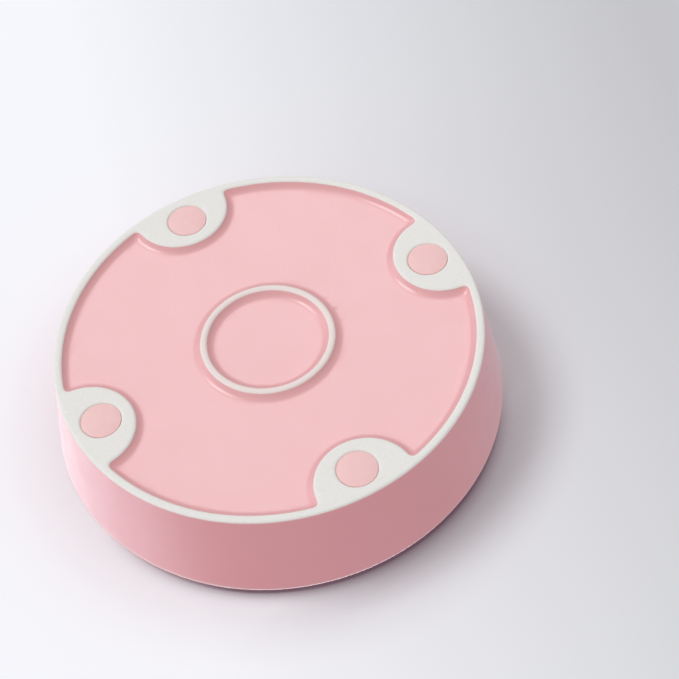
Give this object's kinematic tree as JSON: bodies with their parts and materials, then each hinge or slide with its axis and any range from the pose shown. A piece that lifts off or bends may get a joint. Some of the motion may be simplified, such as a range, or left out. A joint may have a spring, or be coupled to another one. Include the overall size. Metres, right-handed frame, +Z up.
{
  "type": "slow feeder bowl",
  "caption": "Low round ceramic pet bowl with rose-petal ridges standing on its floor to slow eating, and soft pads in wells in its foot.",
  "frame": {"origin": "middle of the plane that the four pads stand on, on the bowl's axis", "axes": "+Z up along the bowl's axis, +Y towards the back, where the two tall petals stand, +X to the right"},
  "size_m": [0.21, 0.21, 0.0485],
  "materials": {
    "glazed_stoneware": "satin pale pink glaze, with the foot ring and lobes left as bare off-white clay",
    "soft_pad": "matte soft pink",
    "adhesive": "thin cream film"
  },
  "bodies": {
    "root": {"bowl": "glazed_stoneware", "pad_back_right": "soft_pad", "pad_back_left": "soft_pad", "pad_front_left": "soft_pad", "pad_front_right": "soft_pad", "pad_adhesive_back_right": "adhesive", "pad_adhesive_back_left": "adhesive", "pad_adhesive_front_left": "adhesive", "pad_adhesive_front_right": "adhesive"}
  },
  "joints": []
}
